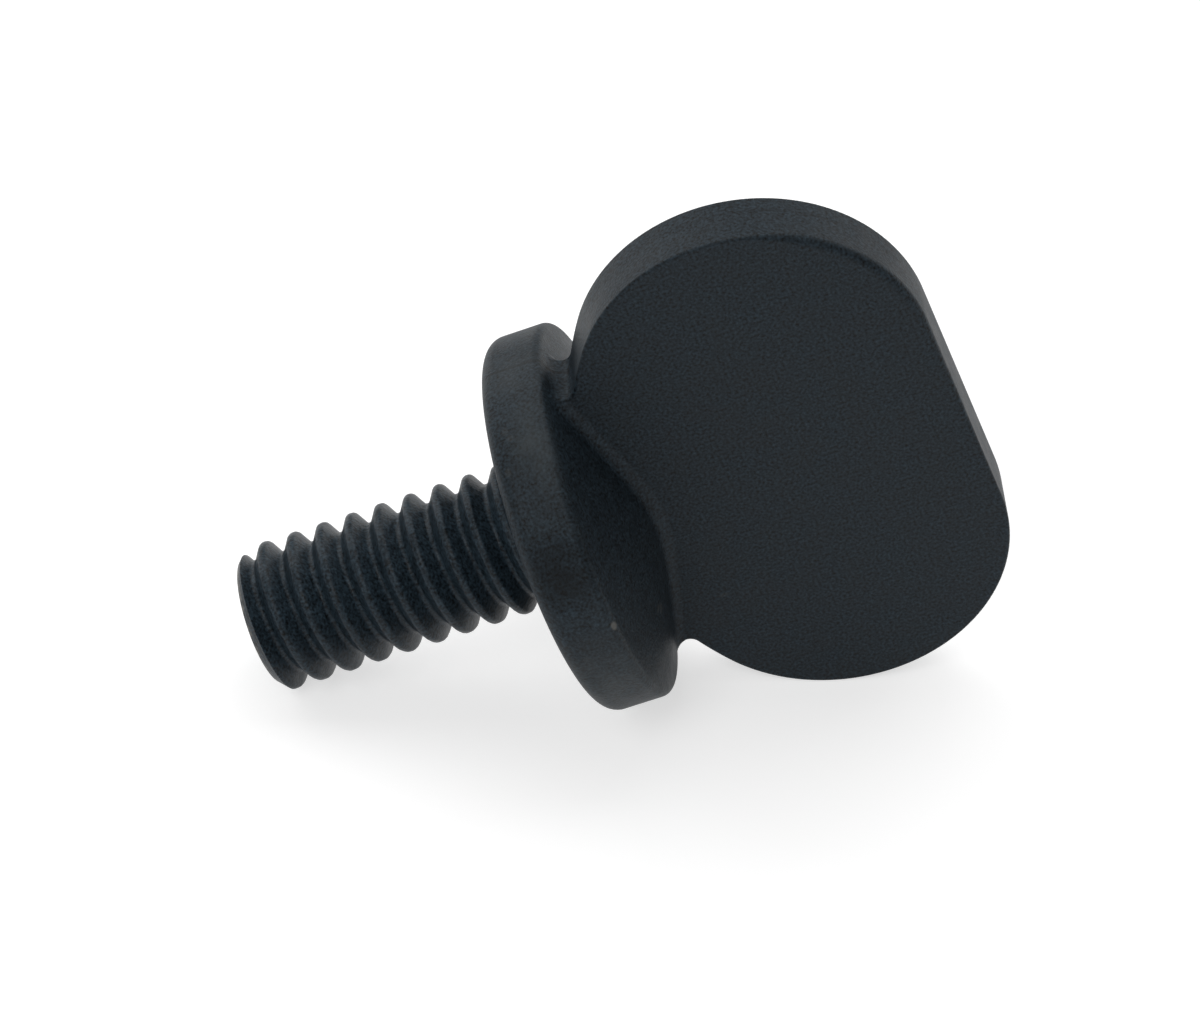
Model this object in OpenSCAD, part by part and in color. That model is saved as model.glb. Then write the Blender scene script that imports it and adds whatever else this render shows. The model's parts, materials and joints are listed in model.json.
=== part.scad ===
// Thumb screw, moulded in one piece: a threaded shank, a round collar with a conical
// top, and a flat spade plate to turn it by. Lengths are in millimetres.
// The screw is drawn along its own axis, with the collar's underside at zero, and is
// then laid down as it stands on a table: on the tip's edge and one lobe of the plate.

/* [Thread] */
// Length of the shank from the collar's underside to the tip
shank_len = 12.56; // [8:0.01:32]
// Diameter over the thread's crests
crest_d = 6.1; // [5:0.05:6.4]
// Rise of the thread in one turn
pitch = 1.27; // [1.1:0.01:1.6]
// Height of the thread from root to crest
thread_depth = 0.6; // [0.4:0.01:0.8]
// Width of the flat along the crest
crest_flat = 0.2; // [0.12:0.01:0.3]
// Width of the flat along the root
root_flat = 0.27; // [0.15:0.01:0.45]
// Size of the bevel round the tip
tip_bevel = 0.4; // [0.1:0.01:0.55]

/* [Collar] */
// Diameter of the collar
collar_d = 15.8; // [13:0.05:20]
// Height of the collar's rim, up to where the cone would meet it unrounded
rim_h = 2.6; // [1.8:0.05:3.2]
// Rise of the cone from the rim to the axis
cone_h = 2.2; // [1.2:0.05:3]
// Rounding between the rim and the underside
under_round = 0.7; // [0.2:0.05:1.2]
// Rounding between the rim and the cone
crown_round = 0.35; // [0.1:0.05:0.6]
// Clearance round the thread in the underside, so that the collar seats flat
relief_gap = 0.25; // [0.1:0.05:0.6]
// Depth of that relief
relief_depth = 0.15; // [0.05:0.05:0.5]

/* [Plate] */
// Width of the plate across its two lobes
plate_w = 23.5; // [20:0.1:24.2]
// Width of the flat end
flat_w = 9.3; // [8.5:0.1:12]
// Depth of the plate's foot, which a wide arc closes, below the tip of the cone
foot_sink = 2.8; // [2:0.05:3.2]
// Depth of that foot below the two lobes
foot_drop = 1.4; // [0.8:0.05:2.5]
// Thickness of the plate
plate_t = 2.6; // [2.2:0.05:4]
// Rounding of the plate's edges
edge_round = 0.12; // [0.06:0.01:0.5]
// Radius of the notch between the plate's flank and the cone
notch_r = 0.5; // [0.3:0.05:0.8]
// Radius of the fillet between the plate's faces and the cone
fillet_r = 0.5; // [0.3:0.05:0.8]

/* [Hidden] */
body_colour = [0.16, 0.18, 0.19];
$fn = 96;

// Thread: the knots of one pitch as [height, radius], from root to root
crest_r = crest_d / 2;
root_r = crest_r - thread_depth;
flank_w = (pitch - crest_flat - root_flat) / 2;
knots = [
    [0, root_r],
    [flank_w, crest_r],
    [flank_w + crest_flat, crest_r],
    [2 * flank_w + crest_flat, root_r]
];
turn_steps = 36;
// Share of a pitch between the bevel and the first crest
crest_gap = 0.08;
first_crest = tip_bevel + crest_flat / 2 + crest_gap * pitch;
rod_low = first_crest - shank_len - flank_w - crest_flat / 2 - 2 * pitch;
rod_top = rim_h / 2;
thread_turns = ceil((rod_top - rod_low) / pitch) + 1;

// Collar: how steep the cone is, and how far a ball that rests on it lifts its centre
collar_r = collar_d / 2;
cone_top = rim_h + cone_h;
cone_fall = cone_h / collar_r;
cone_lift = sqrt(1 + pow(cone_fall, 2));
cone_turn = atan2(1, cone_fall);
crown_z = rim_h + crown_round * (cone_fall - cone_lift);
relief_r = crest_r + relief_gap;

// Plate: two lobes, a flat end and one wide arc that touches both lobes round its foot
lobe_r = (plate_w - flat_w) / 2;
lobe_x = flat_w / 2;
foot_z = cone_top - foot_sink;
lobe_z = foot_z + foot_drop + lobe_r;
flank_r = lobe_r + (pow(lobe_x, 2) + pow(foot_drop, 2)) / (2 * foot_drop);
flank_z = foot_z + flank_r;
flank_turn = atan2(flank_z - lobe_z, lobe_x);

// Distance from the axis at which a ball touches the wide arc and the cone from outside
function touch_x(r) =
    let (rise = flank_z - cone_top - r * cone_lift, half = rise * cone_fall)
    (sqrt(pow(half, 2) + pow(cone_lift, 2) * (pow(flank_r + r, 2) - pow(rise, 2))) - half)
        / pow(cone_lift, 2);

// Notch: the place of its ball and of the corner that it fills, and its chords
notch_x = touch_x(notch_r);
notch_z = cone_top + notch_r * cone_lift - cone_fall * notch_x;
corner_x = touch_x(0);
corner_z = cone_top - cone_fall * corner_x;
notch_chords = 6;

// Fillet: its lengths and its chords, and how far from the middle its ball runs
fillet_steps = 24;
fillet_chords = 3;
fillet_y = plate_t / 2 + fillet_r;

// Share of a chord by which a web or a fillet runs on into the walls that it joins
sink = 0.35;

// Rest: the line that touches the first crest and a lobe is the table
crest_low = shank_len - first_crest + crest_flat / 2;
crest_to_lobe = [lobe_x - crest_r, lobe_z + crest_low];
lean = atan2(crest_to_lobe[0], crest_to_lobe[1]) + asin(lobe_r / norm(crest_to_lobe));
rest_z = crest_r * cos(lean) + crest_low * sin(lean);
reach_head = lobe_x * sin(lean) + lobe_z * cos(lean) + lobe_r;
reach_tip = (crest_r - tip_bevel) * sin(lean) + shank_len * cos(lean);
rest_x = (reach_tip - reach_head) / 2;

// Point at a distance and an angle from a centre
function polar(centre, r, a) = centre + r * [cos(a), sin(a)];

// Points of an arc about a centre, from one angle to another
function arc(centre, r, from, to, steps) =
    [for (i = [0:steps]) polar(centre, r, from + (to - from) * i / steps)];

// Angle of the line from one point to another, from 0 to 360
function bearing(from, to) = (atan2(to[1] - from[1], to[0] - from[0]) + 360) % 360;

// Concave corner between two walls, from the bow of chords that hollows it and points
// inside the walls. Its outermost chords run on, so that it joins the walls at an angle.
function hollow(bow, inner) =
    let (last = len(bow) - 1)
    concat(
        [bow[0] + sink * (bow[0] - bow[1])],
        [for (i = [1:last - 1]) bow[i]],
        [bow[last] + sink * (bow[last] - bow[last - 1])],
        inner
    );

// Outline of the plate, drawn in by an inset, with the screw's axis upright
function plate_outline(inset) = concat(
    arc([lobe_x, lobe_z], lobe_r - inset, -flank_turn, 90, 36),
    arc([-lobe_x, lobe_z], lobe_r - inset, 90, 180 + flank_turn, 36),
    arc([0, flank_z], flank_r - inset, 180 + flank_turn, 360 - flank_turn, 24)
);

// Half section of the collar, from the relief round the rim and over the cone
function collar_section() = concat(
    [[0, relief_depth], [relief_r, relief_depth], [relief_r, 0]],
    arc([collar_r - under_round, under_round], under_round, -90, 0, 8),
    arc([collar_r - crown_round, crown_z], crown_round, 0, cone_turn, 6),
    [[0, cone_top]]
);

// Cross section of the fillet at one distance from the axis, where its ball touches the
// face of the plate and the cone
function fillet_section(x) =
    let (
        out = norm([x, fillet_y]),
        centre = [x, fillet_y, cone_top - cone_fall * out + fillet_r * cone_lift],
        to_face = [0, -1, 0],
        to_cone = -[cone_fall * x / out, cone_fall * fillet_y / out, 1] / cone_lift,
        spread = acos(to_face * to_cone),
        bow = [for (i = [0:fillet_chords])
            let (turn = spread * i / fillet_chords)
            centre + fillet_r * (sin(spread - turn) * to_face + sin(turn) * to_cone) / sin(spread)],
        inside = [x, plate_t / 2 - fillet_r,
            cone_top - cone_fall * norm([x, plate_t / 2]) - fillet_r]
    )
    hollow(bow, [inside]);

// The collar with its conical top and the relief round the thread
module collar() {
    rotate_extrude() polygon(collar_section());
}

// A threaded rod that is longer than the shank at both ends
module thread_rod() {
    k_n = len(knots);
    m_n = thread_turns * turn_steps;
    points = concat(
        [for (m = [0:m_n], knot = knots)
            let (a = 360 * m / turn_steps, z = rod_low + pitch * m / turn_steps)
            [knot[1] * cos(a), knot[1] * sin(a), z + knot[0]]],
        [[0, 0, rod_low], [0, 0, rod_low + pitch * thread_turns]]
    );
    foot = len(points) - 2;
    head = len(points) - 1;
    ridge = [for (m = [0:m_n - 1], k = [0:k_n - 2])
        let (a = m * k_n + k) each [[a, a + 1, a + k_n], [a + 1, a + k_n + 1, a + k_n]]];
    root = [for (m = [0:m_n - turn_steps - 1])
        let (a = m * k_n + k_n - 1, b = (m + turn_steps) * k_n) each [
            [a, b, a + k_n],
            [b, b + k_n, a + k_n]]];
    foot_edge = concat([for (m = [0:turn_steps]) m * k_n], [for (k = [k_n - 1:-1:1]) k]);
    head_edge = concat(
        [for (k = [0:k_n - 1]) m_n * k_n + k],
        [for (m = [m_n - 1:-1:m_n - turn_steps]) m * k_n + k_n - 1]
    );
    foot_cap = [for (i = [0:len(foot_edge) - 1])
        [foot, foot_edge[i], foot_edge[(i + 1) % len(foot_edge)]]];
    head_cap = [for (i = [0:len(head_edge) - 1])
        [head, head_edge[i], head_edge[(i + 1) % len(head_edge)]]];
    polyhedron(points, concat(ridge, root, foot_cap, head_cap));
}

// The threaded shank: the rod cut off at the tip, bevelled, and run into the collar
module shank() {
    keep_r = crest_r + relief_gap / 2;
    intersection() {
        thread_rod();
        rotate_extrude() polygon([
            [0, -shank_len], [crest_r - tip_bevel, -shank_len],
            [keep_r, keep_r - crest_r + tip_bevel - shank_len],
            [keep_r, rod_top], [0, rod_top]
        ]);
    }
}

// The spade plate with its rounded edges
module plate() {
    rotate([90, 0, 0]) hull() {
        for (a = [0, 45, 90]) {
            inset = edge_round * (1 - cos(a));
            half = plate_t / 2 - edge_round * (1 - sin(a));
            translate([0, 0, -half]) linear_extrude(2 * half) polygon(plate_outline(inset));
        }
    }
}

// Web in the corner between the plate's flank and the cone, hollowed by the notch
module notch_web(side) {
    centre = [notch_x, notch_z];
    bow = arc(centre, notch_r, bearing(centre, [0, flank_z]), 180 + cone_turn, notch_chords);
    mirror([side, 0, 0]) rotate([90, 0, 0]) translate([0, 0, -plate_t / 2])
        linear_extrude(plate_t) polygon(hollow(bow,
            [[corner_x - notch_r, corner_z], [corner_x, corner_z + 2 * notch_r]]));
}

// Fillet between one face of the plate and the cone, ended at the notches
module face_fillet(side) {
    reach = notch_x - notch_r;
    sections = [for (i = [0:fillet_steps]) fillet_section(reach * (2 * i / fillet_steps - 1))];
    ring = len(sections[0]);
    walls = [for (i = [0:fillet_steps - 1], j = [0:ring - 1])
        let (a = i * ring + j, b = i * ring + (j + 1) % ring)
        each [[a, b, a + ring], [b, b + ring, a + ring]]];
    caps = [for (j = [1:ring - 2], end = [0, fillet_steps * ring])
        end == 0 ? [0, j + 1, j] : [end, end + j, end + j + 1]];
    mirror([0, side, 0]) polyhedron([for (section = sections) each section], concat(walls, caps));
}

// The whole screw along its own axis
module upright_screw() {
    collar();
    shank();
    plate();
    for (side = [0, 1]) {
        notch_web(side);
        face_fillet(side);
    }
}

// The screw as it stands on the table
module thumb_screw() {
    color(body_colour) translate([rest_x, 0, rest_z]) rotate([0, 90 - lean, 0]) upright_screw();
}

thumb_screw();
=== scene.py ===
import json
import logging
import math
from dataclasses import dataclass
from enum import Enum

import bmesh
import bpy
import numpy as np
from mathutils import Matrix, Vector

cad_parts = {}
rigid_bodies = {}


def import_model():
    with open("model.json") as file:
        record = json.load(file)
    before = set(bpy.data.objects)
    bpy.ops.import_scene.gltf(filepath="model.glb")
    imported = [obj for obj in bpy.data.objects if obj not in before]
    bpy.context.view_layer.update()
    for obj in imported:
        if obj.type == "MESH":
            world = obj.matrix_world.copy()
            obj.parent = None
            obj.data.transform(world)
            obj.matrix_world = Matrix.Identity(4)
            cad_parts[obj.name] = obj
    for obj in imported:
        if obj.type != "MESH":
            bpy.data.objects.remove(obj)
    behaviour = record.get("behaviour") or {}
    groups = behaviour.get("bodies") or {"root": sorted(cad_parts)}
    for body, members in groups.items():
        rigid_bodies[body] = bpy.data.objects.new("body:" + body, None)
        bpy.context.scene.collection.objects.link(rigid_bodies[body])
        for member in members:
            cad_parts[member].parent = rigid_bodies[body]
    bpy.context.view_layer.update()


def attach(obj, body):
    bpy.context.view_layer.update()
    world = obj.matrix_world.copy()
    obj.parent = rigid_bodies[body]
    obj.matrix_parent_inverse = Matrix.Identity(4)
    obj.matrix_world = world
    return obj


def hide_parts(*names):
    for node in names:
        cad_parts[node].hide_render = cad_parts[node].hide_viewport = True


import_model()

MM = 0.001
LOG = logging.getLogger("thumb_screw")


@dataclass(frozen=True)
class ScrewSizes:
    """Sizes of the thumb screw in millimetres, along its own axis from the collar's underside.

    They are the source's sizes, apart from soft_round, which only this script has.
    """

    shank_len: float = 12.56
    crest_r: float = 3.05
    pitch: float = 1.27
    thread_depth: float = 0.6
    crest_flat: float = 0.2
    root_flat: float = 0.27
    tip_bevel: float = 0.4
    collar_r: float = 7.9
    rim_h: float = 2.6
    cone_h: float = 2.2
    under_round: float = 0.7
    crown_round: float = 0.35
    relief_r: float = 3.3
    relief_depth: float = 0.15
    plate_w: float = 23.5
    flat_w: float = 9.3
    foot_sink: float = 2.8
    foot_drop: float = 1.4
    plate_t: float = 2.6
    edge_round: float = 0.12
    soft_round: float = 0.38
    notch_r: float = 0.5
    fillet_r: float = 0.5

    @property
    def flank_w(self) -> float:
        """Width of one flank of the thread along the axis."""
        return (self.pitch - self.crest_flat - self.root_flat) / 2

    @property
    def first_crest(self) -> float:
        """Height of the first crest above the tip, on the side that faces the table."""
        return self.tip_bevel + self.crest_flat / 2 + 0.08 * self.pitch

    @property
    def cone_top(self) -> float:
        """Height of the tip of the cone on the collar."""
        return self.rim_h + self.cone_h

    @property
    def cone_fall(self) -> float:
        """How far the cone falls for each millimetre from the axis."""
        return self.cone_h / self.collar_r

    @property
    def cone_lift(self) -> float:
        """Rise of a ball's centre above the cone, for a radius of one."""
        return math.hypot(1.0, self.cone_fall)

    @property
    def crown_z(self) -> float:
        """Height of the centre of the rounding between the rim and the cone."""
        return self.rim_h + self.crown_round * (self.cone_fall - self.cone_lift)

    @property
    def lobe_r(self) -> float:
        """Radius of the plate's two lobes."""
        return (self.plate_w - self.flat_w) / 2

    @property
    def lobe_x(self) -> float:
        """Distance of a lobe's centre from the axis."""
        return self.flat_w / 2

    @property
    def foot_z(self) -> float:
        """Height of the plate's foot, which lies inside the collar."""
        return self.cone_top - self.foot_sink

    @property
    def lobe_z(self) -> float:
        """Height of the lobes' centres."""
        return self.foot_z + self.foot_drop + self.lobe_r

    @property
    def head_h(self) -> float:
        """Height of the plate's flat end."""
        return self.lobe_z + self.lobe_r

    @property
    def flank_r(self) -> float:
        """Radius of the plate's wide arc."""
        return self.lobe_r + (self.lobe_x ** 2 + self.foot_drop ** 2) / (2 * self.foot_drop)

    @property
    def flank_z(self) -> float:
        """Height of the centre of the plate's wide arc."""
        return self.foot_z + self.flank_r

    @property
    def flank_turn(self) -> float:
        """Angle below level at which a lobe passes into the wide arc."""
        return math.atan2(self.flank_z - self.lobe_z, self.lobe_x)

    @property
    def notch(self) -> tuple[float, float]:
        """Distance from the axis and height of the centre of the notch."""
        rise = self.flank_z - self.cone_top - self.notch_r * self.cone_lift
        half, lift = rise * self.cone_fall, self.cone_lift ** 2
        reach = half ** 2 + lift * ((self.flank_r + self.notch_r) ** 2 - rise ** 2)
        x = (math.sqrt(reach) - half) / lift
        return x, self.cone_top + self.notch_r * self.cone_lift - self.cone_fall * x

    @property
    def crest_low(self) -> float:
        """Distance below the collar's underside of the edge of the first crest."""
        return self.shank_len - self.first_crest + self.crest_flat / 2

    @property
    def lean(self) -> float:
        """Angle of the axis above the table, with the first crest and a lobe on it."""
        x, z = self.lobe_x - self.crest_r, self.lobe_z + self.crest_low
        return math.atan2(x, z) + math.asin(self.lobe_r / math.hypot(x, z))

    @property
    def place(self) -> Vector:
        """Where the collar's underside lies on the table, in millimetres."""
        sin, cos = math.sin(self.lean), math.cos(self.lean)
        height = self.crest_r * cos + self.crest_low * sin
        head = self.lobe_x * sin + self.lobe_z * cos + self.lobe_r
        tip = (self.crest_r - self.tip_bevel) * sin + self.shank_len * cos
        return Vector(((tip - head) / 2, 0.0, height))

    def laid(self) -> Matrix:
        """Gives the change from the screw's own millimetres to its place on the table in metres.

        Returns:
            The matrix that turns, moves and scales a mesh.
        """
        turn = Matrix.Rotation(math.pi / 2 - self.lean, 4, "Y")
        return Matrix.Scale(MM, 4) @ Matrix.Translation(self.place) @ turn


class Handle:
    """Short operator calls that act on one object at a time."""

    @staticmethod
    def clear() -> None:
        """Deselects every object."""
        for thing in bpy.context.selected_objects:
            thing.select_set(False)

    @staticmethod
    def take(thing: bpy.types.Object) -> None:
        """Makes one object the only selected and the active one."""
        Handle.clear()
        thing.select_set(True)
        bpy.context.view_layer.objects.active = thing

    @staticmethod
    def edit(thing: bpy.types.Object) -> None:
        """Opens an object for editing with nothing selected in it."""
        Handle.take(thing)
        bpy.ops.object.mode_set(mode="EDIT")
        bpy.ops.mesh.select_all(action="DESELECT")

    @staticmethod
    def close() -> None:
        """Goes back to object mode."""
        bpy.ops.object.mode_set(mode="OBJECT")

    @staticmethod
    def apply(thing: bpy.types.Object, kind: str, **settings: object) -> None:
        """Adds a modifier, sets it and applies it.

        Args:
            thing: The object to change.
            kind: The modifier's type.
            settings: Values for the modifier's own fields.
        """
        Handle.take(thing)
        tool = thing.modifiers.new(kind.title(), kind)
        for name, value in settings.items():
            setattr(tool, name, value)
        bpy.ops.object.modifier_apply(modifier=tool.name)

    @staticmethod
    def strip(name: str, points: list[tuple[float, float, float]],
              closed: bool) -> bpy.types.Object:
        """Makes an object of a chain of edges.

        Args:
            name: The object's name.
            points: The chain's points in order.
            closed: True if the last point joins the first and the loop gets a face.

        Returns:
            The new object.
        """
        mesh = bpy.data.meshes.new(name)
        count = len(points)
        edges = [(i, (i + 1) % count) for i in range(count if closed else count - 1)]
        mesh.from_pydata(points, edges, [list(range(count))] if closed else [])
        thing = bpy.data.objects.new(name, mesh)
        bpy.context.scene.collection.objects.link(thing)
        return thing

    @staticmethod
    def shell(thing: bpy.types.Object, merge: float) -> None:
        """Merges an object's doubles and turns its faces outwards.

        Args:
            thing: The object to mend.
            merge: Distance under which two points are one.
        """
        Handle.edit(thing)
        bpy.ops.mesh.select_all(action="SELECT")
        bpy.ops.mesh.remove_doubles(threshold=merge)
        bpy.ops.mesh.normals_make_consistent(inside=False)
        Handle.close()


def arc(centre: tuple[float, float], radius: float, start: float, end: float,
        steps: int) -> list[tuple[float, float]]:
    """Gives the points of an arc.

    Args:
        centre: The arc's centre.
        radius: Its radius.
        start: Angle of the first point in radians.
        end: Angle of the last point in radians.
        steps: Number of chords.

    Returns:
        The points in order.
    """
    turns = [start + (end - start) * i / steps for i in range(steps + 1)]
    return [(centre[0] + radius * math.cos(a), centre[1] + radius * math.sin(a)) for a in turns]


@dataclass(frozen=True)
class MouldedForm:
    """The head's surface as a distance, with the soft corners that moulding leaves.

    The two soft values say where the wider rounding begins and over what length it comes in,
    across the plate and along the axis.
    """

    sizes: ScrewSizes
    soft_across: tuple[float, float] = (2.0, 8.0)
    soft_along: tuple[float, float] = (12.2, 2.2)
    probe: float = 1e-3
    least_slope: float = 0.05
    longest_step: float = 0.15

    def collar(self, p: np.ndarray) -> np.ndarray:
        """Distance to the collar and its cone, less than nothing inside.

        Args:
            p: Points in the screw's own millimetres, one a row.

        Returns:
            One distance a point.
        """
        s = self.sizes
        r, z = np.hypot(p[:, 0], p[:, 1]), p[:, 2]
        cone = (z + s.cone_fall * r - s.cone_top) / s.cone_lift
        plain = np.maximum.reduce([-z, r - s.collar_r, cone])
        ring, low = s.collar_r - s.under_round, s.under_round
        under = np.hypot(r - ring, z - low) - s.under_round
        crown_x, crown_z = s.collar_r - s.crown_round, s.crown_z
        top = math.atan2(1.0, s.cone_fall)
        turn = np.arctan2(z - crown_z, r - crown_x)
        crown = np.hypot(r - crown_x, z - crown_z) - s.crown_round
        out = np.where((r > ring) & (z < low), under, plain)
        return np.where((turn > 0) & (turn < top) & (z > low), crown, out)

    def rounding(self, p: np.ndarray) -> np.ndarray:
        """Gives the radius of the plate's edges, wider on the front of the upper lobe's end.

        Args:
            p: Points in the screw's own millimetres, one a row.

        Returns:
            One radius a point.
        """
        s = self.sizes
        (from_x, over_x), (from_z, over_z) = self.soft_across, self.soft_along
        across = np.clip((from_x - p[:, 0]) / over_x, 0.0, 1.0)
        along = np.clip((p[:, 2] - from_z) / over_z, 0.0, 1.0)
        soft = np.where(p[:, 1] < 0, across * along, 0.0)
        return s.edge_round + soft * (s.soft_round - s.edge_round)

    def plate(self, p: np.ndarray) -> np.ndarray:
        """Distance to the spade plate with its stem and rounded edges.

        Args:
            p: Points in the screw's own millimetres, one a row.

        Returns:
            One distance a point.
        """
        s = self.sizes
        x, y, z = np.abs(p[:, 0]), np.abs(p[:, 1]), p[:, 2]
        turn = np.arctan2(z - s.lobe_z, x - s.lobe_x)
        lobe = np.hypot(x - s.lobe_x, z - s.lobe_z) - s.lobe_r
        flank = np.hypot(x, z - s.flank_z) - s.flank_r
        side = np.where(turn > math.pi / 2, z - s.head_h, lobe)
        side = np.where(turn < -s.flank_turn, flank, side)
        nx, nz = s.notch
        to_flank = math.atan2(s.flank_z - nz, -nx)
        bow = np.arctan2(z - nz, x - nx)
        hollow = s.notch_r - np.hypot(x - nx, z - nz)
        stem = np.maximum(x - nx + s.notch_r, s.under_round + s.fillet_r - z)
        side = np.where((bow > to_flank) & (z >= nz), hollow, side)
        side = np.where(z < nz, stem, side)
        edge = self.rounding(p)
        a, b = side + edge, y - s.plate_t / 2 + edge
        outside = np.hypot(np.maximum(a, 0), np.maximum(b, 0))
        return outside + np.minimum(np.maximum(a, b), 0) - edge

    def head(self, p: np.ndarray) -> np.ndarray:
        """Distance to the plate and the collar, with a fillet where they meet.

        Args:
            p: Points in the screw's own millimetres, one a row.

        Returns:
            One distance a point.
        """
        a, b, r = self.collar(p), self.plate(p), self.sizes.fillet_r
        fillet = np.hypot(np.maximum(r - a, 0), np.maximum(r - b, 0))
        return np.maximum(r, np.minimum(a, b)) - fillet

    def slope(self, p: np.ndarray) -> np.ndarray:
        """Finds which way the head's surface faces.

        Args:
            p: Points in the screw's own millimetres, one a row.

        Returns:
            The slope of the distance at each point.
        """
        h = self.probe
        return np.stack([(self.head(p + h * axis) - self.head(p - h * axis)) / (2 * h)
                         for axis in np.eye(3)], axis=1)

    def settle(self, p: np.ndarray, rounds: int) -> np.ndarray:
        """Moves points straight onto the head's surface.

        Args:
            p: The points, one a row.
            rounds: Number of steps.

        Returns:
            The moved points.
        """
        for _ in range(rounds):
            slope = self.slope(p)
            size = np.maximum((slope ** 2).sum(axis=1), self.least_slope)
            step = np.clip(self.head(p) / size, -self.longest_step, self.longest_step)
            p = p - slope * step[:, None]
        return p


@dataclass
class Head:
    """The collar with its cone and the spade plate, which are one moulding."""

    sizes: ScrewSizes
    form: MouldedForm
    ring_steps: int = 96
    voxel: float = 0.2
    fine_turns: tuple[float, float] = (0.16, 0.33)

    def spin_collar(self) -> bpy.types.Object:
        """Spins the collar's section round the axis.

        Returns:
            The closed collar.
        """
        s = self.sizes
        under = (s.collar_r - s.under_round, s.under_round)
        crown = (s.collar_r - s.crown_round, s.crown_z)
        turn = math.atan2(1.0, s.cone_fall)
        under_steps, crown_steps, cone_steps = 8, 6, 8
        section = [(0.0, 0.0)]
        section += arc(under, s.under_round, -math.pi / 2, 0, under_steps)
        section += arc(crown, s.crown_round, 0, turn, crown_steps)
        section += [(s.collar_r * (1 - i / cone_steps), s.rim_h + s.cone_h * i / cone_steps)
                    for i in range(1, cone_steps + 1)]
        collar = Handle.strip("collar", [(x, 0.0, z) for x, z in section], closed=False)
        Handle.edit(collar)
        bpy.ops.mesh.select_all(action="SELECT")
        bpy.ops.mesh.spin(steps=self.ring_steps, angle=2 * math.pi, center=(0, 0, 0),
                          axis=(0, 0, 1))
        Handle.close()
        Handle.shell(collar, merge=1e-3)
        return collar

    def cut_plate(self) -> bpy.types.Object:
        """Extrudes the plate's outline, with its stem, to the plate's thickness.

        Returns:
            The closed plate.
        """
        s = self.sizes
        nx, nz = s.notch
        to_flank = math.atan2(s.flank_z - nz, -nx)
        notch_steps, flank_steps, lobe_steps = 6, 14, 40
        right = [(nx - s.notch_r, s.under_round)]
        right += arc((nx, nz), s.notch_r, math.pi, to_flank, notch_steps)
        flank_end = math.atan2(nz - s.flank_z, nx)
        right += arc((0, s.flank_z), s.flank_r, flank_end, -s.flank_turn, flank_steps)[1:]
        right += arc((s.lobe_x, s.lobe_z), s.lobe_r, -s.flank_turn, math.pi / 2, lobe_steps)[1:]
        outline = right + [(-x, z) for x, z in reversed(right)]
        plate = Handle.strip("plate", [(x, -s.plate_t / 2, z) for x, z in outline], closed=True)
        Handle.edit(plate)
        bpy.ops.mesh.select_all(action="SELECT")
        bpy.ops.mesh.extrude_region_move(TRANSFORM_OT_translate={"value": (0, s.plate_t, 0)})
        bpy.ops.mesh.select_all(action="SELECT")
        bpy.ops.mesh.normals_make_consistent(inside=False)
        Handle.close()
        return plate

    def settle_all(self, thing: bpy.types.Object, rounds: int) -> None:
        """Moves every point of a mesh onto the moulded form.

        Args:
            thing: The object whose mesh is moved.
            rounds: Number of steps.
        """
        mesh = thing.data
        flat = np.empty(len(mesh.vertices) * 3)
        mesh.vertices.foreach_get("co", flat)
        moved = self.form.settle(flat.reshape(-1, 3), rounds)
        mesh.vertices.foreach_set("co", moved.ravel())
        mesh.update()

    def refine(self, thing: bpy.types.Object, fine_turn: float) -> None:
        """Subdivides the faces of a mesh that lie on its rounded edges and fillets.

        Args:
            thing: The object to refine.
            fine_turn: Turn along an edge, in radians, over which it is divided.
        """
        Handle.edit(thing)
        bm = bmesh.from_edit_mesh(thing.data)
        bpy.ops.mesh.select_mode(type="EDGE")
        for edge in bm.edges:
            first, last = edge.verts
            edge.select = first.normal.angle(last.normal, 0.0) > fine_turn
        bmesh.update_edit_mesh(thing.data)
        bpy.ops.mesh.select_more()
        bpy.ops.mesh.subdivide(number_cuts=1)
        Handle.close()

    def cut_relief(self, head: bpy.types.Object) -> None:
        """Cuts the shallow relief round the thread into the underside.

        Args:
            head: The head to cut.
        """
        s, depth = self.sizes, 1.0
        Handle.clear()
        bpy.ops.mesh.primitive_cylinder_add(vertices=self.ring_steps, radius=s.relief_r,
                                            depth=depth,
                                            location=(0, 0, s.relief_depth - depth / 2))
        drill = bpy.context.active_object
        Handle.apply(head, "BOOLEAN", operation="DIFFERENCE", solver="EXACT", object=drill)
        bpy.data.objects.remove(drill)

    def build(self) -> bpy.types.Object:
        """Builds the head in the screw's own millimetres.

        Returns:
            The closed head.
        """
        head, plate = self.spin_collar(), self.cut_plate()
        Handle.apply(head, "BOOLEAN", operation="UNION", solver="EXACT", object=plate)
        bpy.data.objects.remove(plate)
        Handle.apply(head, "REMESH", mode="VOXEL", voxel_size=self.voxel)
        self.settle_all(head, rounds=4)
        Handle.apply(head, "SMOOTH", factor=0.5, iterations=6)
        self.settle_all(head, rounds=6)
        for fine_turn in self.fine_turns:
            self.refine(head, fine_turn)
            self.settle_all(head, rounds=4)
        self.cut_relief(head)
        return head


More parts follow.
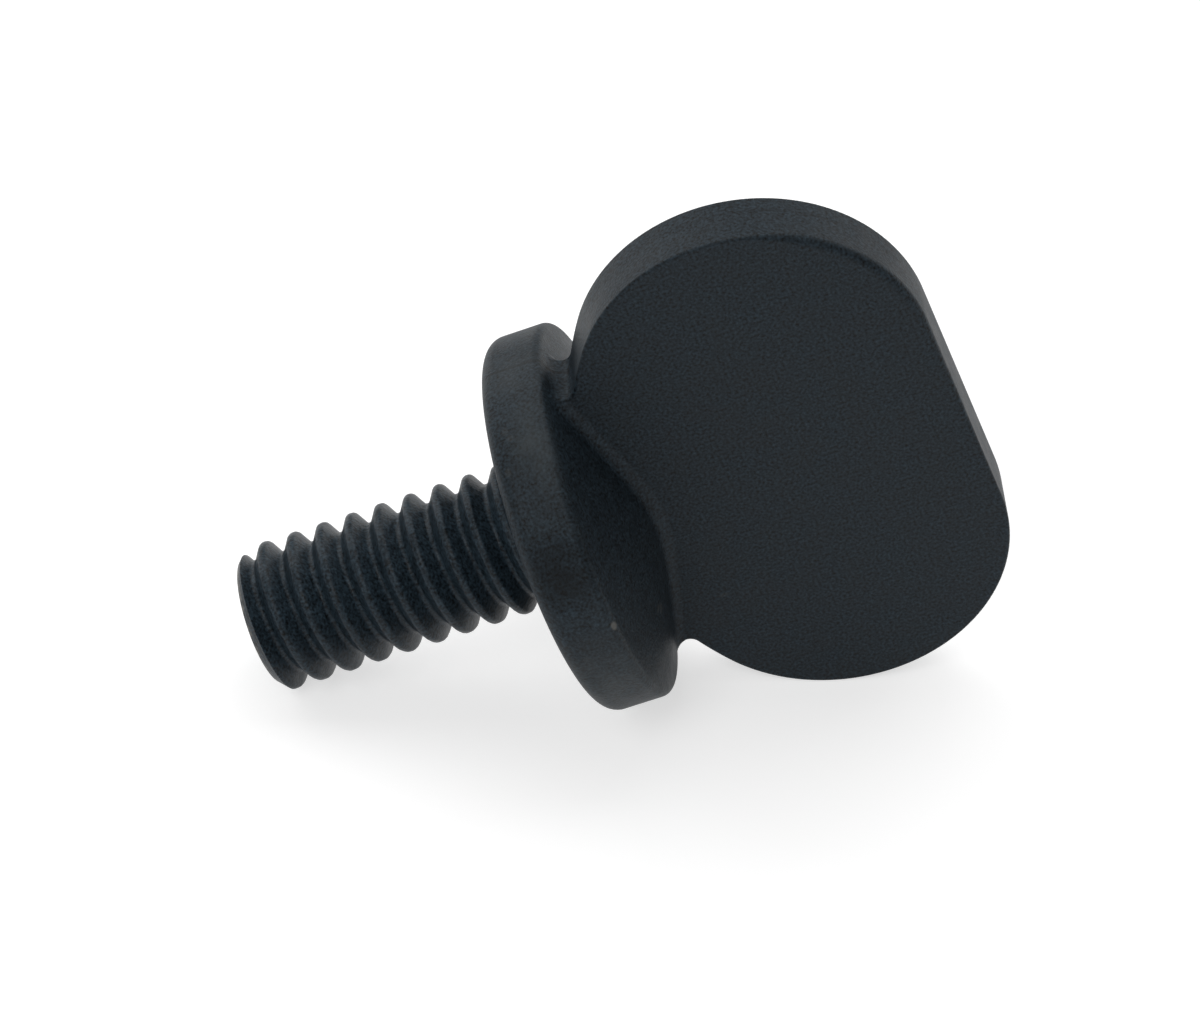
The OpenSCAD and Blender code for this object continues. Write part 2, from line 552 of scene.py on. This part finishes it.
@dataclass
class Shank:
    """The threaded shank, a helix that is cut off and bevelled at the tip."""

    sizes: ScrewSizes
    steps: int = 144
    flaw: float = 0.035
    flaw_size: float = 0.3
    flaw_depth: int = 3
    flaw_level: float = 0.3
    crest_spare: float = 0.05
    crest_ease: float = 0.1
    root_ease: float = 0.1
    ease_points: tuple[float, ...] = (0.0, 0.33, 0.67, 1.0)
    spare_turns: int = 2
    merge: float = 1e-4
    limit_spare: float = 0.2

    def tooth(self) -> list[tuple[float, float]]:
        """Gives one pitch of the thread as radius and height, with eased corners.

        Returns:
            The points from the middle of one root to the middle of the next.
        """
        s = self.sizes
        root = s.crest_r - s.thread_depth
        half = (s.root_flat - self.crest_spare) / 2
        crest = s.crest_flat + self.crest_spare
        corners = [
            (root, half, self.root_ease),
            (s.crest_r, half + s.flank_w, self.crest_ease),
            (s.crest_r, half + s.flank_w + crest, self.crest_ease),
            (root, half + 2 * s.flank_w + crest, self.root_ease),
        ]
        chain = [(root, 0.0, 0.0), *corners, (root, s.pitch, 0.0)]
        points = [chain[0][:2]]
        for i in range(1, len(chain) - 1):
            here, ease = Vector(chain[i][:2]), chain[i][2]
            back = (Vector(chain[i - 1][:2]) - here).normalized() * ease
            on = (Vector(chain[i + 1][:2]) - here).normalized() * ease
            for t in self.ease_points:
                bend = here + back * (1 - t) ** 2 + on * t ** 2
                points.append((bend.x, bend.y))
        points.append(chain[-1][:2])
        return points

    def wind(self) -> bpy.types.Object:
        """Winds the tooth's section up the axis and closes its two ends.

        Returns:
            A closed threaded rod, longer than the shank.
        """
        s = self.sizes
        low = s.first_crest - s.shank_len - s.pitch / 2 - self.spare_turns * s.pitch
        turns = math.ceil((s.rim_h - low) / s.pitch)
        rod = Handle.strip("shank", [(x, 0.0, z + low) for x, z in self.tooth()], closed=False)
        Handle.apply(rod, "SCREW", axis="Z", angle=2 * math.pi, screw_offset=s.pitch,
                     iterations=turns, steps=self.steps, render_steps=self.steps,
                     use_merge_vertices=True, merge_threshold=self.merge,
                     use_normal_calculate=True)
        Handle.edit(rod)
        bpy.ops.mesh.select_all(action="SELECT")
        bpy.ops.mesh.remove_doubles(threshold=self.merge)
        bpy.ops.mesh.select_all(action="DESELECT")
        bpy.ops.mesh.select_mode(type="EDGE")
        bpy.ops.mesh.select_non_manifold()
        bpy.ops.mesh.fill()
        bpy.ops.mesh.select_all(action="SELECT")
        bpy.ops.mesh.normals_make_consistent(inside=False)
        Handle.close()
        return rod

    def roughen(self, rod: bpy.types.Object) -> None:
        """Makes the thread's surface uneven, as a moulded thread's crests and roots are.

        Args:
            rod: The wound rod.
        """
        flaws = bpy.data.textures.new("thread_flaws", "CLOUDS")
        flaws.noise_scale, flaws.noise_depth = self.flaw_size, self.flaw_depth
        Handle.apply(rod, "DISPLACE", texture=flaws, texture_coords="LOCAL", direction="NORMAL",
                     strength=self.flaw, mid_level=self.flaw_level)

    def spin_envelope(self) -> bpy.types.Object:
        """Spins the outer limit of the shank, with the bevel at its tip.

        Returns:
            The closed limit.
        """
        s = self.sizes
        wide = s.crest_r + self.limit_spare
        section = [(0.0, -s.shank_len), (s.crest_r - s.tip_bevel, -s.shank_len),
                   (wide, wide - s.crest_r + s.tip_bevel - s.shank_len),
                   (wide, s.rim_h / 2), (0.0, s.rim_h / 2)]
        limit = Handle.strip("limit", [(x, 0.0, z) for x, z in section], closed=False)
        Handle.edit(limit)
        bpy.ops.mesh.select_all(action="SELECT")
        bpy.ops.mesh.spin(steps=self.steps, angle=2 * math.pi, center=(0, 0, 0),
                          axis=(0, 0, 1))
        Handle.close()
        Handle.shell(limit, merge=1e-3)
        return limit

    def build(self) -> bpy.types.Object:
        """Builds the shank in the screw's own millimetres.

        Returns:
            The closed shank.
        """
        rod, limit = self.wind(), self.spin_envelope()
        self.roughen(rod)
        Handle.apply(rod, "BOOLEAN", operation="INTERSECT", solver="EXACT", object=limit)
        bpy.data.objects.remove(limit)
        return rod


class Socket(str, Enum):
    """Sockets of the surface shader that the finish sets."""

    COLOUR = "Base Color"
    ROUGHNESS = "Roughness"
    SPECULAR = "Specular IOR Level"
    NORMAL = "Normal"


Value = float | tuple[float, ...] | bpy.types.NodeSocket


class Graph:
    """Short calls that add shader nodes to one material."""

    def __init__(self, skin: bpy.types.Material) -> None:
        """Takes hold of a material's nodes.

        Args:
            skin: The material.
        """
        skin.use_nodes = True
        self.nodes, self.links = skin.node_tree.nodes, skin.node_tree.links

    def feed(self, socket: bpy.types.NodeSocket, value: Value) -> None:
        """Links a value to a socket, or writes it there.

        Args:
            socket: The socket that takes it.
            value: Another socket, a number or a vector.
        """
        if isinstance(value, bpy.types.NodeSocket):
            self.links.new(value, socket)
        else:
            socket.default_value = value

    def maths(self, operation: str, *values: Value) -> bpy.types.NodeSocket:
        """Adds one sum.

        Args:
            operation: The sum's name.
            values: What goes in.

        Returns:
            The result.
        """
        node = self.nodes.new("ShaderNodeMath")
        node.operation = operation
        for socket, value in zip(node.inputs, values):
            self.feed(socket, value)
        return node.outputs[0]

    def vector(self, operation: str, *values: Value) -> bpy.types.Node:
        """Adds one vector sum.

        Args:
            operation: The sum's name.
            values: What goes in.

        Returns:
            The node.
        """
        node = self.nodes.new("ShaderNodeVectorMath")
        node.operation = operation
        for socket, value in zip(node.inputs, values):
            self.feed(socket, value)
        return node

    def band(self, value: Value, low: float, high: float) -> bpy.types.NodeSocket:
        """Rises softly from nothing at one value to one at another.

        Args:
            value: What is measured.
            low: Where the rise begins.
            high: Where it ends, which may be less.

        Returns:
            The height of the rise.
        """
        node = self.nodes.new("ShaderNodeMapRange")
        node.interpolation_type = "SMOOTHSTEP"
        low_end, high_end = (0.0, 1.0) if low < high else (1.0, 0.0)
        ends = (value, min(low, high), max(low, high), low_end, high_end)
        for socket, end in zip(node.inputs, ends):
            self.feed(socket, end)
        return node.outputs[0]

    def noise(self, where: Value, scale: float, detail: float) -> bpy.types.NodeSocket:
        """Adds a noise.

        Args:
            where: The coordinates.
            scale: Number of waves in a millimetre.
            detail: Number of finer waves on each.

        Returns:
            The noise, around one half.
        """
        node = self.nodes.new("ShaderNodeTexNoise")
        self.feed(node.inputs["Vector"], where)
        node.inputs["Scale"].default_value = scale
        node.inputs["Detail"].default_value = detail
        return node.outputs["Fac"]

    def blend(self, amount: Value, first: Value, second: Value) -> bpy.types.NodeSocket:
        """Goes from one colour to another.

        Args:
            amount: How far to go.
            first: The colour at nothing.
            second: The colour at one.

        Returns:
            The colour.
        """
        node = self.nodes.new("ShaderNodeMix")
        node.data_type = "RGBA"
        sockets = [socket for socket in node.inputs if socket.enabled]
        for socket, value in zip(sockets, (amount, first, second)):
            self.feed(socket, (*value, 1.0) if isinstance(value, tuple) else value)
        return next(socket for socket in node.outputs if socket.enabled)


@dataclass(frozen=True)
class SpeckOrPaintedPatch:
    """A soft round spot in the screw's own millimetres: a pale speck, or a patch of painted
    highlight or painted shade.
    """

    at: tuple[float, float, float]
    size: tuple[float, float, float]
    strength: float


SPECKS = (
    SpeckOrPaintedPatch((-0.55, -7.81, 2.54), (0.26, 0.34, 0.15), 0.6),
    SpeckOrPaintedPatch((2.84, -3.6, 3.52), (0.3, 0.3, 0.4), 0.16),
    SpeckOrPaintedPatch((2.55, -3.95, 3.62), (0.16, 0.35, 0.35), 0.2),
    SpeckOrPaintedPatch((5.12, -1.3, 5.56), (0.12, 0.3, 0.3), 0.08),
    SpeckOrPaintedPatch((-7.39, -2.77, 0.88), (0.3, 0.26, 0.2), 0.07),
    SpeckOrPaintedPatch((-7.27, -3.09, 1.02), (0.3, 0.2, 0.2), 0.07),
    SpeckOrPaintedPatch((-6.62, -4.3, 0.64), (0.3, 0.22, 0.18), 0.09),
    SpeckOrPaintedPatch((0.6, -7.85, 0.95), (0.22, 0.2, 0.2), 0.05),
)
# Painted highlights on the top and the lower front of the collar's rim, and one painted shade
# patch (negative strength) on its front, above the middle.
PAINTED_LIGHT_PATCHES = (
    SpeckOrPaintedPatch((-6.9, -3.6, 1.9), (2.6, 2.6, 1.3), 0.34),
    SpeckOrPaintedPatch((-7.8, 0.4, 1.6), (1.5, 2.2, 1.7), 0.18),
    SpeckOrPaintedPatch((-3.3, -7.2, 1.4), (2.1, 1.6, 2.0), -0.4),
    SpeckOrPaintedPatch((2.4, -7.4, 1.3), (3.4, 2.2, 2.2), 0.3),
    SpeckOrPaintedPatch((6.0, -5.2, 1.6), (2.4, 2.6, 2.2), 0.3),
)


@dataclass(frozen=True)
class DarkNylon:
    """Matte moulded nylon, dark blue-grey, with a fine grain, mottling and light wear, painted
    highlights and painted shade on the collar's rim, and a shank painted lighter.

    Scales are waves in a millimetre. A pair of numbers is a factor and what is added to it.
    """

    sizes: ScrewSizes
    colour: tuple[float, float, float] = (0.0114, 0.0186, 0.0248)
    # pale is the colour of the rim's mottling, and also of its painted highlights.
    pale: tuple[float, float, float] = (0.062, 0.071, 0.075)
    worn: tuple[float, float, float] = (0.17, 0.165, 0.15)
    roughness: float = 0.52
    specular: float = 0.2
    grain_scale: float = 8.5
    grain_tone: tuple[float, float] = (5.0, -1.5)
    mottle_scale: float = 1.1
    mottle_tone: tuple[float, float] = (0.7, 0.65)
    mottle_rough: float = 0.2
    mottle_height: float = 0.8
    cloud_scale: float = 0.9
    cloud_tone: tuple[float, float] = (2.4, -0.2)
    rim_haze: float = 0.06
    # How strongly the painted shade patch darkens the collar's rim.
    painted_shade_tone: float = 1.6
    line_y: float = 0.42
    line_tone: float = -0.7
    line_on_plate: float = -0.65
    # Painted light: the shank's colour is made 30% lighter than the head's, though it is the
    # same nylon.
    shank_painted_light: float = 0.3
    shank_rough: float = -0.1
    bump_strength: float = 0.5
    bump_distance: float = 0.00004

    @staticmethod
    def spots(graph: Graph, own: Value, marks: tuple[SpeckOrPaintedPatch, ...],
              edge: float) -> list[Value]:
        """Works out how strong each pale speck or painted light patch is at a point.

        Args:
            graph: The material's nodes.
            own: The screw's own coordinates.
            marks: The pale specks, or the patches of painted highlight and painted shade.
            edge: Share of a mark's size that is of full strength.

        Returns:
            One value a speck.
        """
        found = []
        for mark in marks:
            away = graph.vector("SUBTRACT", own, mark.at)
            scaled = graph.vector("DIVIDE", away.outputs[0], mark.size)
            size = graph.vector("LENGTH", scaled.outputs[0]).outputs["Value"]
            found.append(graph.maths("MULTIPLY", graph.band(size, 1.0, edge), mark.strength))
        return found

    def wear(self, graph: Graph, own: Value, z: Value, r: Value) -> bpy.types.NodeSocket:
        """Works out where the surface is worn pale: the tip's ragged edge and the specks.

        Args:
            graph: The material's nodes.
            own: The screw's own coordinates.
            z: Height along the axis.
            r: Distance from the axis.

        Returns:
            The amount of wear.
        """
        bevel, tip = self.sizes.tip_bevel, -self.sizes.shank_len
        crest = self.sizes.crest_r
        uneven = graph.noise(own, 2.4, 3.0)
        ragged = graph.maths("MULTIPLY_ADD", graph.band(uneven, 0.42, 0.56), 0.7, 0.12)
        height = graph.maths("MULTIPLY_ADD", uneven, 0.6 * bevel, z)
        edge = graph.band(height, 0.75 * bevel + tip, 0.5 * bevel + tip)
        outer = graph.band(r, crest - 1.35 * bevel, crest - 1.1 * bevel)
        total = graph.maths("MULTIPLY", graph.maths("MULTIPLY", edge, outer), ragged)
        for spot in self.spots(graph, own, SPECKS, 0.4):
            total = graph.maths("MAXIMUM", total, spot)
        return total

    def line(self, graph: Graph, y: Value, z: Value) -> bpy.types.NodeSocket:
        """Works out where the faint line of the mould's two halves runs.

        Args:
            graph: The material's nodes.
            y: Distance from the plate's middle.
            z: Height along the axis.

        Returns:
            One on the line, and less on the plate.
        """
        away = graph.maths("ABSOLUTE", graph.maths("SUBTRACT", y, self.line_y))
        on_plate = graph.maths("MULTIPLY_ADD", graph.band(z, 3.0, 3.6), self.line_on_plate, 1.0)
        line = graph.maths("MULTIPLY", graph.band(away, 0.13, 0.04), on_plate)
        return graph.maths("MULTIPLY", line, graph.band(z, 0.1, 0.5))

    def coordinates(self, graph: Graph) -> bpy.types.NodeSocket:
        """Turns the object's coordinates into the screw's own millimetres.

        Args:
            graph: The material's nodes.

        Returns:
            The screw's own coordinates.
        """
        coords = graph.nodes.new("ShaderNodeTexCoord")
        place = graph.nodes.new("ShaderNodeMapping")
        place.vector_type = "TEXTURE"
        place.inputs["Location"].default_value = self.sizes.place * MM
        place.inputs["Rotation"].default_value = (0.0, math.pi / 2 - self.sizes.lean, 0.0)
        place.inputs["Scale"].default_value = (MM, MM, MM)
        graph.links.new(coords.outputs["Object"], place.inputs["Vector"])
        return place.outputs[0]

    def haze_and_painted_light(self, graph: Graph, own: Value, z: Value, r: Value) -> bpy.types.NodeSocket:
        """Works out the cloudy mottling on the collar's rim, with painted highlights on its top
        and lower front and a painted shade patch on its front.

        Args:
            graph: The material's nodes.
            own: The screw's own coordinates.
            z: Height along the axis.
            r: Distance from the axis.

        Returns:
            More than nothing where the rim is pale or carries a painted highlight, and less
            where it carries painted shade.
        """
        rim = graph.maths("MULTIPLY", graph.band(r, 7.2, 7.7), graph.band(z, 3.0, 2.7))
        clouds = graph.noise(own, self.cloud_scale, 5.0)
        cloudy = graph.maths("MULTIPLY_ADD", clouds, *self.cloud_tone)
        haze_and_painted_light: Value = self.rim_haze
        # The patches add painted highlights and painted shade to the rim's even mottling.
        for patch in self.spots(graph, own, PAINTED_LIGHT_PATCHES, 0.1):
            haze_and_painted_light = graph.maths("ADD", haze_and_painted_light, patch)
        return graph.maths("MULTIPLY", graph.maths("MULTIPLY", haze_and_painted_light, rim), cloudy)

    def material(self) -> bpy.types.Material:
        """Builds the material.

        Returns:
            The finished material.
        """
        skin = bpy.data.materials.new("dark_nylon")
        graph = Graph(skin)
        shader = graph.nodes["Principled BSDF"]
        shader.inputs[Socket.SPECULAR.value].default_value = self.specular
        own = self.coordinates(graph)
        parts = graph.nodes.new("ShaderNodeSeparateXYZ")
        graph.links.new(own, parts.inputs[0])
        _, y, z = parts.outputs
        flat = graph.vector("MULTIPLY", own, (1.0, 1.0, 0.0))
        r = graph.vector("LENGTH", flat.outputs[0]).outputs["Value"]

        grain = graph.noise(own, self.grain_scale, 3.0)
        mottle = graph.noise(own, self.mottle_scale, 4.0)
        # This holds the rim's real mottling together with its painted highlights and painted
        # shade.
        haze_and_painted_light = self.haze_and_painted_light(graph, own, z, r)
        # dark is the painted shade: the negative part of the rim's haze.
        dark = graph.maths("MINIMUM", haze_and_painted_light, 0.0)
        line = self.line(graph, y, z)
        # The shank mask makes the thread glossier, a real finish, and paints its colour lighter,
        # which is painted light.
        shank = graph.maths("MULTIPLY", graph.band(r, 3.6, 3.2), graph.band(z, 0.1, -0.1))
        tone = graph.maths("MULTIPLY_ADD", grain, *self.grain_tone)
        for what, factor, start in ((mottle, *self.mottle_tone), (dark, self.painted_shade_tone, 1.0),
                                    (line, self.line_tone, 1.0), (shank, self.shank_painted_light, 1.0)):
            share = graph.maths("MULTIPLY_ADD", what, factor, start)
            tone = graph.maths("MULTIPLY", tone, share)
        base = graph.vector("SCALE", self.colour)
        graph.feed(base.inputs["Scale"], tone)
        colour = graph.blend(haze_and_painted_light, base.outputs[0], self.pale)
        colour = graph.blend(self.wear(graph, own, z, r), colour, self.worn)
        graph.feed(shader.inputs[Socket.COLOUR.value], colour)

        rough = graph.maths("MULTIPLY_ADD", mottle, self.mottle_rough,
                            self.roughness - self.mottle_rough / 2)
        rough = graph.maths("MULTIPLY_ADD", shank, self.shank_rough, rough)
        graph.feed(shader.inputs[Socket.ROUGHNESS.value], rough)

        height = graph.maths("MULTIPLY_ADD", mottle, self.mottle_height, grain)
        bump = graph.nodes.new("ShaderNodeBump")
        bump.inputs["Strength"].default_value = self.bump_strength
        bump.inputs["Distance"].default_value = self.bump_distance
        graph.links.new(height, bump.inputs["Height"])
        graph.links.new(bump.outputs["Normal"], shader.inputs[Socket.NORMAL.value])
        return skin


@dataclass
class ThumbScrew:
    """The whole moulding, dressed and laid as it stands on the table."""

    sizes: ScrewSizes
    finish: DarkNylon
    smooth_degrees: float = 35.0
    on_form: float = 0.01
    thread_spare: float = 0.2
    thread_top: float = 1.0

    def shade(self, piece: bpy.types.Object, form: MouldedForm) -> None:
        """Smooths the shading, and gives the head the normals of its true form.

        Args:
            piece: The laid screw.
            form: The head's form.
        """
        Handle.take(piece)
        bpy.ops.object.shade_smooth_by_angle(angle=math.radians(self.smooth_degrees))
        mesh, laid = piece.data, self.sizes.laid()
        corner = np.empty(len(mesh.loops), dtype=int)
        mesh.loops.foreach_get("vertex_index", corner)
        normals = np.empty(len(mesh.loops) * 3)
        mesh.corner_normals.foreach_get("vector", normals)
        normals = normals.reshape(-1, 3)
        points = np.empty(len(mesh.vertices) * 3)
        mesh.vertices.foreach_get("co", points)
        back = np.array(laid.inverted())
        own = points.reshape(-1, 3) @ back[:3, :3].T + back[:3, 3]
        slope = form.slope(own)
        slope /= np.maximum(np.linalg.norm(slope, axis=1), 1e-6)[:, None]
        r, reach = np.hypot(own[:, 0], own[:, 1]), self.sizes.relief_r + self.thread_spare
        near_thread = (r < reach) & (own[:, 2] < self.thread_top)
        on_head = (np.abs(form.head(own)) < self.on_form) & ~near_thread
        turned = slope @ np.array(laid.to_quaternion().to_matrix()).T
        chosen = on_head[corner]
        normals[chosen] = turned[corner[chosen]]
        mesh.normals_split_custom_set(normals)

    def build(self) -> bpy.types.Object:
        """Builds the screw in place of its solid.

        Returns:
            The finished piece.
        """
        form = MouldedForm(self.sizes)
        head = Head(self.sizes, form).build()
        shank = Shank(self.sizes).build()
        Handle.apply(head, "BOOLEAN", operation="UNION", solver="EXACT", object=shank)
        bpy.data.objects.remove(shank)
        head.name = head.data.name = "moulded_screw"
        head.data.transform(self.sizes.laid())
        head.data.update()
        self.shade(head, form)
        head.data.materials.clear()
        head.data.materials.append(self.finish.material())
        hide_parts("thumb_screw")
        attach(head, "root")
        return head


@dataclass
class Studio:
    """A pale floor, soft lamps and the camera."""

    lens: float = 141.32
    camera_at: tuple[float, float, float] = (-0.0119003, -0.1457756, 0.1292081)
    camera_turn: tuple[float, float, float] = (50.3772, -1.5415, -3.0192)
    floor_bounce: float = 0.8
    floor_shade: float = 0.6
    floor_glow: float = 0.6
    sky: float = 0.27

    def camera(self) -> None:
        """Sets the camera at the photograph's place."""
        data = bpy.data.cameras.new("camera")
        data.lens, data.sensor_width = self.lens, 36.0
        data.clip_start, data.clip_end = 0.01, 10.0
        eye = bpy.data.objects.new("camera", data)
        eye.location = self.camera_at
        eye.rotation_euler = [math.radians(a) for a in self.camera_turn]
        bpy.context.scene.collection.objects.link(eye)
        bpy.context.scene.camera = eye

    def floor(self) -> None:
        """Lays the pale floor, which looks white and keeps the screw's shadow."""
        Handle.clear()
        bpy.ops.mesh.primitive_plane_add(size=2.0, location=(0, 0, 0))
        floor = bpy.context.active_object
        floor.name = "floor"
        skin = bpy.data.materials.new("pale_floor")
        graph = Graph(skin)
        nodes, links = graph.nodes, graph.links
        out = nodes["Material Output"]
        nodes.remove(nodes["Principled BSDF"])
        bounce = nodes.new("ShaderNodeBsdfDiffuse")
        bounce.inputs["Color"].default_value = (*[self.floor_bounce] * 3, 1.0)
        shade = nodes.new("ShaderNodeBsdfDiffuse")
        shade.inputs["Color"].default_value = (*[self.floor_shade] * 3, 1.0)
        glow = nodes.new("ShaderNodeEmission")
        glow.inputs["Strength"].default_value = self.floor_glow
        both = nodes.new("ShaderNodeAddShader")
        links.new(shade.outputs[0], both.inputs[0])
        links.new(glow.outputs[0], both.inputs[1])
        ray = nodes.new("ShaderNodeLightPath").outputs
        seen = graph.maths("MAXIMUM", ray["Is Camera Ray"], ray["Is Glossy Ray"])
        seen = graph.maths("MAXIMUM", seen, ray["Is Transmission Ray"])
        pick = nodes.new("ShaderNodeMixShader")
        links.new(seen, pick.inputs["Fac"])
        links.new(bounce.outputs[0], pick.inputs[1])
        links.new(both.outputs[0], pick.inputs[2])
        links.new(pick.outputs[0], out.inputs["Surface"])
        floor.data.materials.append(skin)

    @staticmethod
    def lamp(name: str, place: tuple[float, float, float], size: float, power: float) -> None:
        """Hangs a soft square lamp that faces the screw.

        Args:
            name: The lamp's name.
            place: Where it hangs, in metres.
            size: Its width.
            power: Its power in watts.
        """
        data = bpy.data.lights.new(name, "AREA")
        data.shape, data.size, data.energy = "SQUARE", size, power
        lamp = bpy.data.objects.new(name, data)
        lamp.location = place
        aim = Vector((0, 0, 0.01)) - Vector(place)
        lamp.rotation_euler = aim.to_track_quat("-Z", "Y").to_euler()
        bpy.context.scene.collection.objects.link(lamp)

    def build(self) -> None:
        """Sets up the world, the lamps, the floor and the camera."""
        scene = bpy.context.scene
        scene.view_settings.view_transform = "Standard"
        world = bpy.data.worlds.new("studio")
        world.use_nodes = True
        sky = world.node_tree.nodes["Background"]
        sky.inputs["Color"].default_value = (1.0, 1.0, 1.0, 1.0)
        sky.inputs["Strength"].default_value = self.sky
        scene.world = world
        self.lamp("front_lamp", (-0.16, -0.29, 0.37), size=0.2, power=0.58)
        self.lamp("top_lamp", (0.0, 0.2, 0.45), size=0.4, power=0.85)
        self.lamp("left_lamp", (-0.32, 0.3, 0.26), size=0.4, power=0.77)
        self.lamp("right_lamp", (0.32, 0.3, 0.26), size=0.4, power=0.62)
        self.floor()
        self.camera()


def main() -> None:
    """Builds the studio and the screw."""
    logging.basicConfig(level=logging.INFO, format="%(name)s: %(message)s")
    Studio().build()
    sizes = ScrewSizes()
    piece = ThumbScrew(sizes, DarkNylon(sizes)).build()
    LOG.info("%s: %d faces", piece.name, len(piece.data.polygons))


if __name__ == "__main__":
    main()
